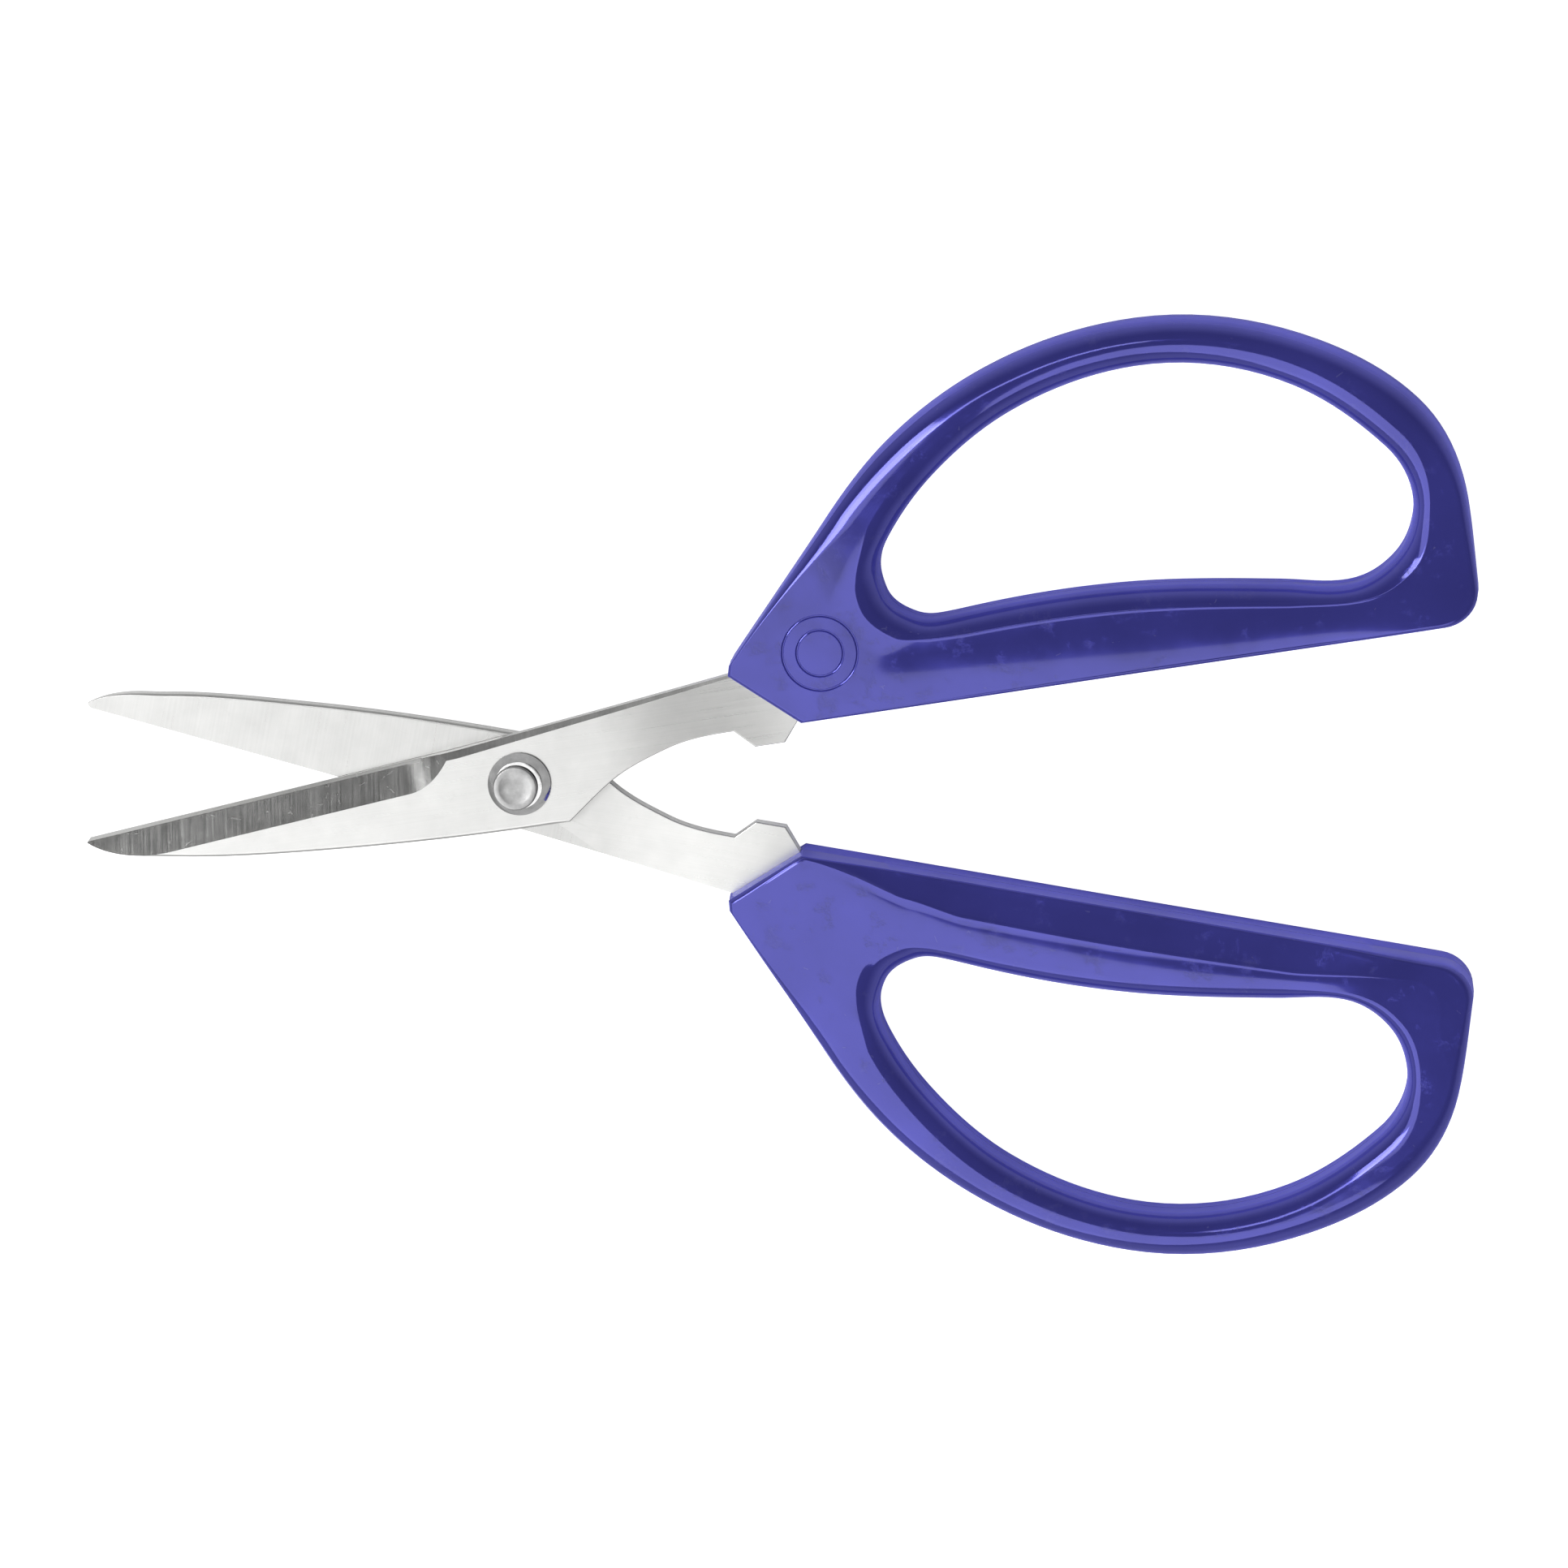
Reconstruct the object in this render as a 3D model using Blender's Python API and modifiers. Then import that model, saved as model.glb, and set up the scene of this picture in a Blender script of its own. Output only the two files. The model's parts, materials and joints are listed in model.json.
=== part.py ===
"""Household scissors with wide D-shaped loops, lying flat and a little open.

Two like arms turn on one rivet.  Each arm is a stamped steel plate, with blade, shank and tang
in one, and a plastic handle moulded round its tang.  An arm is modelled once, closed, with the
rivet's axis at its origin, its tip towards -X and its handle on the +Y side.  The rear arm is
the same arm turned half round about X, so the blades lie face to face and the handles side by
side.  Sizes are in metres.
"""

import math

import bmesh
import bpy
from mathutils import Matrix, Vector

MM = 0.001

# --- Driving sizes ----------------------------------------------------------------------------
OPENING = math.radians(18.1)  # angle between the arms as they lie
BLADE_LENGTH = 49.7 * MM  # rivet to tip
PLATE = 2.0 * MM  # sheet that both blades are stamped from
EDGE_AT_PIVOT = 5.3 * MM  # line of the cutting edge above the rivet's axis
SPINE_AT_PIVOT = 5.4 * MM  # back of the blade below the rivet's axis
TIP_RISE = 0.45 * MM  # the tip is cut off over this height
TIP_CUT = 0.4 * MM
TIP_SET = {"front": 0.3 * MM, "rear": -0.45 * MM}  # how far grinding leaves each tip off the line
BEND_START = 10.0 * MM  # the shank's gentle joggle, measured from the rivet
BEND_END = 31.0 * MM
JOGGLE = 0.6 * MM  # how far it brings the tang towards the middle of the handle
SHANK_TOP = 8.6 * MM  # upper side of the shank where the handle begins
SHANK_LOW = 2.25 * MM  # lower side of the shank before the stop
STOP_START = 26.8 * MM  # flat of the closing stop
STOP_END = 30.2 * MM
TANG_END = 62.0 * MM
TANG_LOW = 4.6 * MM
TANG_HIGH = 9.4 * MM
TANG_HOLE_R = 1.6 * MM
TANG_HOLES = (41.0 * MM, 54.0 * MM)

GRIND_WIDTH = 3.5 * MM  # the bevel on a blade's outer face
GRIND_EDGE_LEFT = 0.75 * MM  # steel that it leaves at the edge
GRIND_END = -12.8 * MM  # where it starts to run out, along the blade
GRIND_WHEEL_R = 14.0 * MM
HONE_WIDTH = 0.6 * MM  # the fine bevel along the cutting edge
HONE_EDGE_LEFT = 0.12 * MM
CHAMFER = 0.5 * MM  # breaks the outer face's edge along the shank
CHAMFER_END = 20.0 * MM

HANDLE_THICKNESS = 8.4 * MM
LOOP_LENGTH = 84.6 * MM  # the handle's corner at the shank to its heel
LOOP_WIDTH = 38.9 * MM  # side of the leg to the top of the bow

RIVET_R = 2.0 * MM
BUTTON_R = 2.5 * MM  # front end of the rivet, spread over its washer
BUTTON_HEIGHT = 0.55 * MM
BUTTON_SHIFT = (-0.35 * MM, -0.25 * MM)  # the spread end lies a little off centre
HEAD_R = 3.55 * MM  # head at the back
HEAD_HEIGHT = 1.1 * MM
WASHER_R = 3.55 * MM
WASHER_HEIGHT = 1.0 * MM
WASHER_RIM = 0.2 * MM  # height of the washer's edge, below its cone
WASHER_TOP_R = 2.75 * MM

# --- Clearances --------------------------------------------------------------------------------
BLADE_GAP = 0.2 * MM  # between the two plates
PIN_GAP = 0.1 * MM  # round the rivet
SEAT_GAP = 0.1 * MM  # under the washer and under both ends of the rivet
POCKET_GAP = 0.3 * MM  # round the tang in its handle
STOP_GAP = 0.15 * MM  # from each stop to the middle plane when closed

# --- Worked out from the sizes -----------------------------------------------------------------
HALF_HANDLE = HANDLE_THICKNESS / 2
PLATE_LOW = BLADE_GAP / 2
PLATE_TOP = PLATE_LOW + PLATE
PLATE_MID = PLATE_LOW + PLATE / 2
TANG_MID = (TANG_LOW + TANG_HIGH) / 2
TIP_X = -BLADE_LENGTH + TIP_CUT

ROUND_STEPS = 48  # sides of a turned piece
CURVE_STEPS = 5  # straight lines in each curved stretch of an outline
MERGE = 1e-6

parts = bpy.data.collections.new("Household scissors")
cutters = bpy.data.collections.new("Cutters")


def clear_scene():
    for obj in list(bpy.data.objects):
        bpy.data.objects.remove(obj)
    for collection in (parts, cutters):
        bpy.context.scene.collection.children.link(collection)
    cutters.hide_render = True


# --- Outlines ----------------------------------------------------------------------------------
def stretch(a, leave, b, arrive, steps):
    """Points from a up to b, on a Bezier that leaves and arrives at these headings."""
    chord = math.dist(a, b)
    straight = math.atan2(b[1] - a[1], b[0] - a[0])
    leave = straight if leave is None else math.radians(leave)
    arrive = straight if arrive is None else math.radians(arrive)
    turn = math.remainder(arrive - leave, math.tau)
    reach = chord / 3
    if abs(turn) > 1e-3:
        reach = chord * 2 / 3 * math.tan(turn / 4) / math.sin(turn / 2)
    c = (a[0] + reach * math.cos(leave), a[1] + reach * math.sin(leave))
    d = (b[0] - reach * math.cos(arrive), b[1] - reach * math.sin(arrive))
    found = []
    for k in range(steps):
        t = k / steps
        weights = ((1 - t) ** 3, 3 * t * (1 - t) ** 2, 3 * t * t * (1 - t), t**3)
        found.append(tuple(sum(w * p[i] for w, p in zip(weights, (a, c, d, b))) for i in (0, 1)))
    return found


def outline(nodes):
    """A closed outline from nodes of (x, y, heading on arrival, heading on leaving).

    Headings are in degrees.  Where both ends of a stretch have None it is a straight line.
    """
    points = []
    for a, b in zip(nodes, nodes[1:] + nodes[:1]):
        straight = a[3] is None and b[2] is None
        points += stretch(a[:2], a[3], b[:2], b[2], 1 if straight else CURVE_STEPS)
    return points


def grown(points, by):
    """An anticlockwise outline moved outwards, its corners mitred."""
    found = []
    for before, at, after in zip(points[-1:] + points[:-1], points, points[1:] + points[:1]):
        first = Vector(at) - Vector(before)
        second = Vector(after) - Vector(at)
        side = Vector((first.y, -first.x)).normalized()
        other = Vector((second.y, -second.x)).normalized()
        mitre = (side + other) / (1 + side.dot(other))
        found.append(tuple(Vector(at) + mitre * by))
    return found


def circle(x, y, radius, steps):
    turns = [math.tau * k / steps for k in range(steps)]
    return [(x + radius * math.cos(t), y + radius * math.sin(t)) for t in turns]


# --- Making solids -----------------------------------------------------------------------------
def plate_mesh(name, outlines, thickness):
    """A flat plate about z = 0 from closed outlines; those inside the first are holes."""
    curve = bpy.data.curves.new(name, "CURVE")
    curve.dimensions = "2D"
    curve.fill_mode = "BOTH"
    curve.extrude = thickness / 2
    for points in outlines:
        spline = curve.splines.new("POLY")
        spline.points.add(len(points) - 1)
        for knot, (x, y) in zip(spline.points, points):
            knot.co = (x, y, 0, 1)
        spline.use_cyclic_u = True
    flat = bpy.data.objects.new(name, curve)
    bpy.context.scene.collection.objects.link(flat)
    graph = bpy.context.evaluated_depsgraph_get()
    mesh = bpy.data.meshes.new_from_object(flat.evaluated_get(graph))
    bpy.data.objects.remove(flat)
    shape = bmesh.new()
    shape.from_mesh(mesh)
    bmesh.ops.remove_doubles(shape, verts=shape.verts, dist=MERGE)
    bmesh.ops.recalc_face_normals(shape, faces=shape.faces)
    shape.to_mesh(mesh)
    shape.free()
    return mesh


def add_part(name, mesh, material):
    obj = bpy.data.objects.new(name, mesh)
    parts.objects.link(obj)
    mesh.materials.append(material)
    return obj


def add_cutter(name, mesh):
    obj = bpy.data.objects.new(name, mesh)
    cutters.objects.link(obj)
    obj.hide_render = True
    obj.display_type = "WIRE"
    return obj


def cut(obj, cutter):
    change = obj.modifiers.new(cutter.name, "BOOLEAN")
    change.solver = "EXACT"
    change.object = cutter


def finished_mesh(obj):
    """The object's mesh with its modifiers in it, so that both arms can share it."""
    bpy.context.view_layer.update()
    graph = bpy.context.evaluated_depsgraph_get()
    mesh = bpy.data.meshes.new_from_object(obj.evaluated_get(graph))
    mesh.name = obj.name
    bpy.data.objects.remove(obj)
    mesh.shade_smooth()
    mesh.set_sharp_from_angle(angle=math.radians(30))
    return mesh


def turned(name, profile, material):
    """A solid turned about Z from (radius, z) points that run down its outer side."""
    mesh = bpy.data.meshes.new(name)
    edges = [(k, k + 1) for k in range(len(profile) - 1)]
    if profile[0][0] > 0:
        edges.append((len(profile) - 1, 0))
    mesh.from_pydata([(r, 0, z) for r, z in profile], edges, [])
    obj = add_part(name, mesh, material)
    screw = obj.modifiers.new("Turn", "SCREW")
    screw.steps = ROUND_STEPS
    screw.render_steps = ROUND_STEPS
    screw.use_merge_vertices = True
    screw.merge_threshold = MERGE
    return obj


def surface(name, colour, roughness, metallic):
    material = bpy.data.materials.new(name)
    material.use_nodes = True
    shader = material.node_tree.nodes["Principled BSDF"]
    shader.inputs["Base Color"].default_value = (*colour, 1)
    shader.inputs["Roughness"].default_value = roughness
    shader.inputs["Metallic"].default_value = metallic
    return material


# --- Blade plate: blade, shank, closing stop and tang ------------------------------------------
def edge_slope(tip_set):
    return math.atan2(EDGE_AT_PIVOT - TIP_RISE - tip_set, -TIP_X)


def edge_y(x, tip_set):
    """The cutting edge's line, from the rivet to the tip."""
    return EDGE_AT_PIVOT + x * math.tan(edge_slope(tip_set))


def tang_nodes():
    """From the shank's lower side round the stop and the tang to its upper side."""
    return [
        (STOP_START - 2.1 * MM, SHANK_LOW, 0, None),
        (STOP_START, STOP_GAP, None, None),
        (STOP_END, STOP_GAP, None, None),
        (STOP_END + 3.6 * MM, TANG_LOW, None, None),
        (TANG_END - 2 * MM, TANG_LOW, None, 0),
        (TANG_END, TANG_MID, 90, 90),
        (TANG_END - 2 * MM, TANG_HIGH, 180, None),
        (STOP_END + 6 * MM, TANG_HIGH, None, None),
        (25.0 * MM, SHANK_TOP, None, None),
    ]


def blade_nodes(tip_set):
    """The whole plate, anticlockwise from the tip along the back of the blade."""
    return [
        (-BLADE_LENGTH, tip_set, None, -38),
        (-0.82 * BLADE_LENGTH, -0.5 * SPINE_AT_PIVOT + 0.82 * tip_set, -10, -10),
        (-0.5 * BLADE_LENGTH, -0.81 * SPINE_AT_PIVOT + 0.5 * tip_set, -4, -4),
        (4.9 * MM, -0.95 * SPINE_AT_PIVOT, 1, 37),
        (10.1 * MM, -1.35 * MM, 33, 33),
        (17.0 * MM, 1.45 * MM, 17, 17),
        *tang_nodes(),
        (-6.5 * MM, edge_y(-6.5 * MM, tip_set), None, None),
        (TIP_X, TIP_RISE + tip_set, None, None),
    ]


def tang_holes(radius):
    return [circle(x, TANG_MID, radius, 24) for x in TANG_HOLES]


def joggle_drop(x):
    """How far the shank has come down towards the middle plane."""
    t = min(1, max(0, (x - BEND_START) / (BEND_END - BEND_START)))
    return JOGGLE * t * t * (3 - 2 * t)


def bend_plate(mesh, bends=10):
    """Lifts the plate to its own layer and bends the shank down towards the middle in an S."""
    shape = bmesh.new()
    shape.from_mesh(mesh)
    for k in range(bends + 1):
        x = BEND_START + (BEND_END - BEND_START) * k / bends
        everything = shape.verts[:] + shape.edges[:] + shape.faces[:]
        bmesh.ops.bisect_plane(shape, geom=everything, plane_co=(x, 0, 0), plane_no=(1, 0, 0))
    bmesh.ops.triangulate(shape, faces=shape.faces)
    for vert in shape.verts:
        vert.co.z += PLATE_MID - joggle_drop(vert.co.x)
    shape.to_mesh(mesh)
    shape.free()


def bevel_cutter(name, side, tip_set, width, outer, inner):
    """Cuts a bevel along the edge that falls to height outer from height inner, this far in.

    The side view has x along the edge and y out of the bevel's face.
    """
    slope = edge_slope(tip_set)
    along = Vector((math.cos(slope), math.sin(slope), 0))
    outward = Vector((-math.sin(slope), math.cos(slope), 0))
    fall = math.atan2(inner - outer, width)
    normal = outward * math.sin(fall) + Vector((0, 0, math.cos(fall)))
    frame = Matrix((along, normal, along.cross(normal))).transposed().to_4x4()
    frame.translation = Vector((0, EDGE_AT_PIVOT, PLATE_LOW + inner)) - outward * width
    cutter = add_cutter(name, plate_mesh(name, [side], 30 * MM))
    cutter.matrix_world = frame
    return cutter


def grind_cutter(tip_set):
    """The wheel's path along the blade, rising out of the steel at the wheel's own radius."""
    wheel = []
    for k in range(13):
        turn = math.radians(60) * k / 12
        rise = GRIND_WHEEL_R * (1 - math.cos(turn))
        wheel.append((GRIND_END + GRIND_WHEEL_R * math.sin(turn), rise))
    side = [(-BLADE_LENGTH * 1.2, 0), *wheel, (-BLADE_LENGTH * 1.2, wheel[-1][1])]
    return bevel_cutter("grind_cutter", side, tip_set, GRIND_WIDTH, GRIND_EDGE_LEFT, PLATE)


def hone_cutter(tip_set):
    run_out = GRIND_END + 5 * MM
    side = [(-BLADE_LENGTH * 1.2, 0), (run_out, 0), (run_out + 3 * MM, 3 * MM)]
    side.append((-BLADE_LENGTH * 1.2, 3 * MM))
    slope = (PLATE - GRIND_EDGE_LEFT) / GRIND_WIDTH
    inner = GRIND_EDGE_LEFT + HONE_WIDTH * slope
    return bevel_cutter("hone_cutter", side, tip_set, HONE_WIDTH, HONE_EDGE_LEFT, inner)


def chamfer_cutter(tip_set):
    """The shank's side runs off the edge's line, so the chamfer narrows towards the handle."""
    side = [(-20 * MM, 0), (CHAMFER_END, 0), (CHAMFER_END + 6 * MM, 1 * MM), (-20 * MM, 1 * MM)]
    return bevel_cutter("chamfer_cutter", side, tip_set, CHAMFER, PLATE - CHAMFER, PLATE)


def make_blade(side, metal):
    tip_set = TIP_SET[side]
    holes = [circle(0, 0, RIVET_R + PIN_GAP, ROUND_STEPS), *tang_holes(TANG_HOLE_R)]
    mesh = plate_mesh("blade", [outline(blade_nodes(tip_set)), *holes], PLATE)
    bend_plate(mesh)
    blade = add_part(f"{side}_blade", mesh, metal)
    for cutter in (grind_cutter(tip_set), hone_cutter(tip_set), chamfer_cutter(tip_set)):
        cut(blade, cutter)
    return finished_mesh(blade)


# --- Handle: a moulded loop ---------------------------------------------------------------------
# Ribs anticlockwise round the loop, lofted into one ring.  A rib is: its outer point with the
# headings on arrival and on leaving, its point at the finger hole with its heading, the sizes of
# its front face and those of its back face.  A face has the width of its rounding at the hole,
# the width of its rounding outside, and the width and the drop of the flat slope outside.
# Plan points are in millimetres on a loop of the drawn size, headings in degrees.
DRAWN_LENGTH = 84.6
DRAWN_WIDTH = 38.9
DRAWN_CORNER = (25.2, 2.4)
NECK = (2.6, 0.6, 0.8, 0.0)
LEG_FRONT = (2.2, 0.4, 4.0, 0.25)
LEG_BACK = (2.2, 0.4, 3.9, 0.9)
RIBS = [
    ((25.2, 8.85, None, None), (44.0, 15.3, -77), NECK, NECK),
    ((32.5, 2.4, None, -0.2), (46.9, 12.2, -28), (2.6, 0.5, 0.8, 0.0), (2.6, 0.5, 1.2, 0.2)),
    ((50.0, 2.4, 0, 0), (52.0, 11.85, 4.5), LEG_FRONT, LEG_BACK),
    ((70.0, 2.45, 0, 0), (70.0, 12.05, -3.4), LEG_FRONT, LEG_BACK),
    ((90.0, 2.45, 0, 0), (87.6, 9.8, -9.4), (2.2, 0.4, 3.0, 0.2), (2.2, 0.4, 3.6, 0.8)),
    ((105.1, 2.45, 0.5, 0.5), (96.7, 8.85, 14), (2.0, 0.5, 1.2, 0.1), (2.2, 0.5, 1.4, 0.2)),
    ((109.3, 6.3, 88, 88), (100.7, 11.0, 41), (1.8, 0.5, 0.9, 0.0), (2.2, 0.6, 0.9, 0.0)),
    ((109.6, 16.1, 91, 91), (103.3, 15.4, 75), (1.6, 0.8, 1.0, 0.0), (2.2, 0.9, 1.1, 0.0)),
    ((105.8, 27.7, 128, 128), (101.4, 23.4, 129), (2.2, 2.3, 2.4, 0.0), (2.4, 2.4, 2.5, 0.0)),
    ((95.8, 35.85, 151, 151), (92.4, 31.6, 149), (2.6, 2.7, 2.8, 0.0), (2.6, 2.7, 2.8, 0.0)),
    ((76.1, 41.3, 179, 179), (75.5, 36.35, 180), (2.4, 2.6, 2.7, 0.0), (2.4, 2.6, 2.7, 0.0)),
    ((58.6, 38.35, 200, 200), (61.1, 33.5, 201.5), (2.5, 2.8, 2.9, 0.0), (2.5, 2.8, 2.9, 0.0)),
    ((46.2, 31.6, 217, 217), (51.3, 27.7, 218.5), (2.9, 2.9, 3.0, 0.0), (2.9, 2.9, 3.0, 0.0)),
    ((38.6, 24.4, 228, 228), (46.2, 22.6, 231), (2.9, 1.8, 2.0, 0.0), (2.9, 1.8, 2.0, 0.0)),
    ((25.5, 10.0, 228, None), (43.85, 18.6, 255.5), NECK, NECK),
]
DRAFT = math.tan(math.radians(2.5))  # the walls lean in on both sides of the parting line
PARTING_LAND = 0.5 * MM  # least height of straight wall on each side of it
ROUND_DEPTH = 1.15  # depth of a rounding for each unit of its width
ROUND_LINES = 3
RIB_STEPS = 4


def placed(x, y):
    """A drawn plan point on the loop as sized."""
    along = (x - DRAWN_CORNER[0]) * LOOP_LENGTH / (DRAWN_LENGTH * MM)
    across = (y - DRAWN_CORNER[1]) * LOOP_WIDTH / (DRAWN_WIDTH * MM)
    return ((DRAWN_CORNER[0] + along) * MM, (DRAWN_CORNER[1] + across) * MM)


def half_section(width, sizes):
    """One face's points as (distance from the hole, height), from the hole outwards."""
    round_in, round_out, slope, drop = (size * MM for size in sizes)
    fit = min(1, width / (round_in + max(round_out, slope)))
    round_in, round_out, slope = (size * fit for size in (round_in, round_out, slope))
    room = HALF_HANDLE - PARTING_LAND
    deep_in = min(round_in * ROUND_DEPTH, room)
    deep_out = min(round_out * ROUND_DEPTH, room - drop)
    turns = [math.pi / 2 * k / ROUND_LINES for k in range(ROUND_LINES + 1)]
    inner = [(1 - math.cos(t), 1 - math.sin(t)) for t in turns]
    points = [(round_in * a, HALF_HANDLE - deep_in * b) for a, b in inner]
    points.append((width - slope, HALF_HANDLE))
    shoulder = HALF_HANDLE - drop
    points += [(width - round_out * a, shoulder - deep_out * b) for a, b in reversed(inner)]
    points[0] = (points[0][1] * DRAFT, points[0][1])
    points[-1] = (width - points[-1][1] * DRAFT, points[-1][1])
    return points


def mixed(a, b, t):
    smooth = t * t * (3 - 2 * t)
    return [x + (y - x) * smooth for x, y in zip(a, b)]


def handle_sections():
    """Closed sections round the loop, each a list of points from the parting line upwards."""
    sections = []
    for rib, following in zip(RIBS, RIBS[1:] + RIBS[:1]):
        outer, hole, front, back = rib
        next_outer, next_hole, next_front, next_back = following
        outside = stretch(outer[:2], outer[3], next_outer[:2], next_outer[2], RIB_STEPS)
        inside = stretch(hole[:2], hole[2], next_hole[:2], next_hole[2], RIB_STEPS)
        for k in range(RIB_STEPS):
            t = k / RIB_STEPS
            start = Vector(placed(*inside[k]))
            end = Vector(placed(*outside[k]))
            width = (end - start).length
            over = half_section(width, mixed(front, next_front, t))
            under = half_section(width, mixed(back, next_back, t))
            section = [(0, 0), *over, (width, 0), *((s, -z) for s, z in reversed(under))]
            way = (end - start) / width
            sections.append([(*(start + way * s), z) for s, z in section])
    return sections


def handle_mesh():
    sections = handle_sections()
    count = len(sections[0])
    points = [point for section in sections for point in section]
    faces = []
    for k in range(len(sections)):
        here = k * count
        there = (k + 1) % len(sections) * count
        for m in range(count):
            n = (m + 1) % count
            faces.append((here + m, there + m, there + n, here + n))
    mesh = bpy.data.meshes.new("handle")
    mesh.from_pydata(points, [], faces)
    shape = bmesh.new()
    shape.from_mesh(mesh)
    bmesh.ops.remove_doubles(shape, verts=shape.verts, dist=MERGE)
    bmesh.ops.recalc_face_normals(shape, faces=shape.faces)
    bmesh.ops.triangulate(shape, faces=shape.faces)
    shape.to_mesh(mesh)
    shape.free()
    return mesh


def pocket_cutter():
    """The space that the tang leaves in the moulding, with the posts that fill its holes."""
    posts = tang_holes(TANG_HOLE_R - POCKET_GAP)
    outlines = [grown(outline(tang_nodes()), POCKET_GAP), *posts]
    mesh = plate_mesh("pocket_cutter", outlines, PLATE + 2 * POCKET_GAP)
    bend_plate(mesh)
    return add_cutter("pocket_cutter", mesh)


def make_handle():
    plastic = surface("Blue-violet nylon", (0.06, 0.052, 0.33), 0.25, 0.0)
    handle = add_part("handle", handle_mesh(), plastic)
    cut(handle, pocket_cutter())
    return finished_mesh(handle)


# --- Rivet and washer ---------------------------------------------------------------------------
def make_washer(metal):
    low = PLATE_TOP + SEAT_GAP
    bore = RIVET_R + PIN_GAP
    return turned(
        "pivot_washer",
        [
            (bore, low + WASHER_HEIGHT),
            (WASHER_TOP_R, low + WASHER_HEIGHT),
            (WASHER_R, low + WASHER_RIM),
            (WASHER_R, low),
            (bore, low),
        ],
        metal,
    )


def make_rivet(metal):
    button_low = PLATE_TOP + SEAT_GAP + WASHER_HEIGHT + SEAT_GAP
    button_top = button_low + BUTTON_HEIGHT
    head_top = -PLATE_TOP - SEAT_GAP
    head_low = head_top - HEAD_HEIGHT
    round_off = 0.15 * MM
    rivet = turned(
        "pivot_rivet",
        [
            (0, button_top),
            (BUTTON_R - round_off, button_top),
            (BUTTON_R, button_top - round_off),
            (BUTTON_R, button_low),
            (RIVET_R, button_low),
            (RIVET_R, head_top),
            (HEAD_R, head_top),
            (HEAD_R, head_top - 0.35 * HEAD_HEIGHT),
            (0.82 * HEAD_R, head_low),
            (0, head_low),
        ],
        metal,
    )
    mesh = finished_mesh(rivet)
    for vert in mesh.vertices:
        if vert.co.z > button_low - MERGE and vert.co.xy.length > RIVET_R + MERGE:
            vert.co.xy += Vector(BUTTON_SHIFT)
    rivet = bpy.data.objects.new("pivot_rivet", mesh)
    parts.objects.link(rivet)
    return rivet


# --- Assembly -----------------------------------------------------------------------------------
def add_arm(name, turn):
    arm = bpy.data.objects.new(name, None)
    parts.objects.link(arm)
    arm.rotation_euler = turn
    return arm


def lowest_and_middle(objects):
    """The middle of the objects' box in plan, and its lowest height."""
    bpy.context.view_layer.update()
    corners = [o.matrix_world @ v.co for o in objects for v in o.data.vertices]
    middle = [(min(c[i] for c in corners) + max(c[i] for c in corners)) / 2 for i in (0, 1)]
    return Vector((*middle, min(c.z for c in corners)))


def assemble():
    steel = surface("Brushed steel", (0.62, 0.62, 0.61), 0.3, 1.0)
    handle = make_handle()
    polished = surface("Polished steel", (0.55, 0.54, 0.52), 0.12, 1.0)
    satin = surface("Satin steel", (0.62, 0.61, 0.6), 0.4, 1.0)
    rear_arm = add_arm("rear_arm", (math.pi, 0, -OPENING / 2))
    front_arm = add_arm("front_arm", (0, 0, OPENING / 2))
    placed_parts = []
    for arm, side in ((front_arm, "front"), (rear_arm, "rear")):
        for mesh, kind in ((make_blade(side, steel), "blade"), (handle, "handle")):
            obj = bpy.data.objects.new(f"{side}_{kind}", mesh)
            parts.objects.link(obj)
            obj.parent = arm
            placed_parts.append(obj)
    pivot = add_arm("pivot_axis", (0, 0, 0))
    for obj in (make_rivet(satin), make_washer(polished)):
        obj.parent = pivot
    shift = lowest_and_middle(placed_parts)
    for arm in (front_arm, rear_arm, pivot):
        arm.location = -shift


clear_scene()
assemble()
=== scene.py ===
"""Household scissors, lying a little open on a pale table in soft studio light.

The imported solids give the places.  Each arm's pieces are modelled closed, with the rivet's axis
at the origin, the tip towards -X and the handle on the +Y side, then laid on the arm's body.
"""

import json
import math

import bmesh
import bpy
from mathutils import Matrix, Vector


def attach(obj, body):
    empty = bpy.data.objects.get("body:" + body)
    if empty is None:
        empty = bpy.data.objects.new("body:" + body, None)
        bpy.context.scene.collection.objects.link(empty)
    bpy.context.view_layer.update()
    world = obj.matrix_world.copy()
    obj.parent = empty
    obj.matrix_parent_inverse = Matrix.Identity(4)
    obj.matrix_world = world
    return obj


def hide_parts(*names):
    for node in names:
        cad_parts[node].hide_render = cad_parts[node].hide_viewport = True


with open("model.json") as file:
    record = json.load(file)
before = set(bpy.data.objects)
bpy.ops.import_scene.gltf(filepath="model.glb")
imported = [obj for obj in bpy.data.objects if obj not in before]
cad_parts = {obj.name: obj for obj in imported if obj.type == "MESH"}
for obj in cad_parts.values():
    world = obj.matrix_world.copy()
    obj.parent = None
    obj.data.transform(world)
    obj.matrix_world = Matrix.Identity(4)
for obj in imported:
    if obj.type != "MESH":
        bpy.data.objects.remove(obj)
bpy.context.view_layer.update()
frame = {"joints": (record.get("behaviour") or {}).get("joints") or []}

MM = 0.001

# --- Where the two arms lie -------------------------------------------------------------------
# Both arms are the same stampings and mouldings.  The rear one is turned half round about its
# own length, so the blades meet face to face; the rivet's axis stands through both.
pivot_joint = frame["joints"][0]
pivot = Vector(pivot_joint["pos_m"])
opening = math.radians(abs(pivot_joint["range_deg"][0]))
on_pivot = Matrix.Translation(pivot)
arm_places = {
    "front": on_pivot @ Matrix.Rotation(opening / 2, 4, "Z"),
    "rear": on_pivot @ Matrix.Rotation(-opening / 2, 4, "Z") @ Matrix.Rotation(math.pi, 4, "X"),
}

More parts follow.
